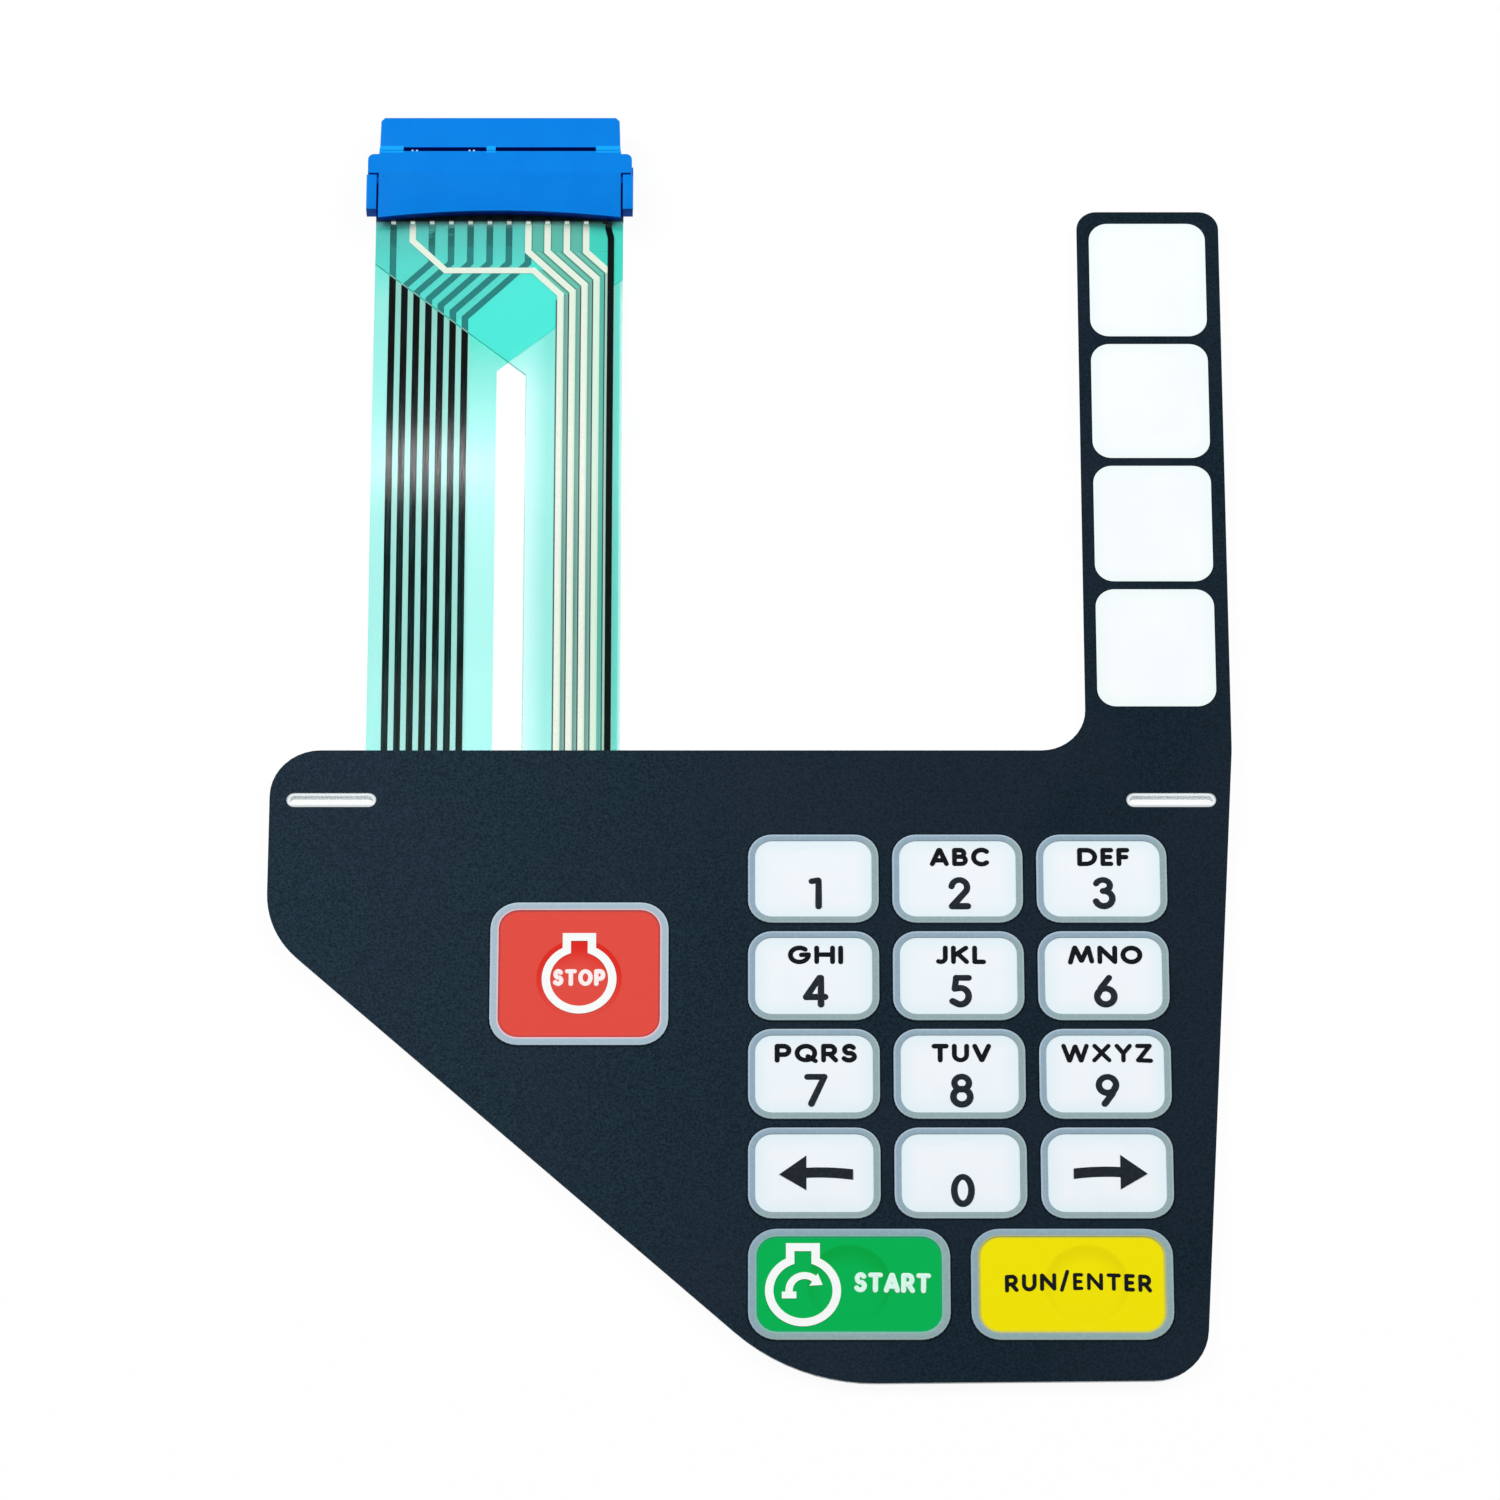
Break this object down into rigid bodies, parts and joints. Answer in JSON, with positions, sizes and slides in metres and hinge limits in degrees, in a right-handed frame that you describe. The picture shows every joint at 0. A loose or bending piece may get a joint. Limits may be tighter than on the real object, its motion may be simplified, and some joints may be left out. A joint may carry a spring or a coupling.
{
  "type": "membrane keypad",
  "caption": "Flat membrane keypad with a trapezoid key field, a side strip of softkeys, snap domes, a split flexible tail and a crimp connector.",
  "frame": {"origin": "middle of the whole part's outline, on the surface it lies on", "axes": "+X to the right as seen by the user, +Y towards the connector and the softkey strip, +Z out of the printed face"},
  "size_m": [0.1232, 0.1764, 0.0042],
  "materials": {
    "overlay": "fine-textured polyester",
    "border_ink": "silver-grey printed",
    "white_ink": "white printed",
    "softkey_ink": "white printed",
    "red_ink": "red printed",
    "green_ink": "green printed",
    "yellow_ink": "yellow printed",
    "dark_ink": "dark printed",
    "symbol_ink": "white printed",
    "adhesive": "adhesive film",
    "spacer_film": "satin polyester",
    "dome_steel": "plain sheet",
    "clear_film": "clear glossy polyester",
    "silver_ink": "printed silver",
    "carbon_ink": "printed carbon",
    "green_coat": "printed green insulating coat",
    "green_film": "glossy polyester",
    "liner": "siliconised paper",
    "housing": "moulded, satin",
    "tinned_contact": "tinned sheet"
  },
  "bodies": {
    "root": {"overlay_film": "overlay", "key_borders": "border_ink", "number_key_faces": "white_ink", "softkey_faces": "softkey_ink", "stop_key_face": "red_ink", "start_key_face": "green_ink", "enter_key_face": "yellow_ink", "arrow_legends": "dark_ink", "engine_symbols": "symbol_ink", "overlay_adhesive": "adhesive", "dome_spacer": "spacer_film", "snap_domes": "dome_steel", "upper_circuit_film": "clear_film", "silver_tracks": "silver_ink", "carbon_edge_track": "carbon_ink", "insulating_coat": "green_coat", "circuit_spacer": "spacer_film", "lower_circuit_film": "green_film", "carbon_tracks": "carbon_ink", "rear_adhesive": "adhesive", "release_liner": "liner", "connector_housing": "housing", "crimp_contacts": "tinned_contact"}
  },
  "joints": []
}
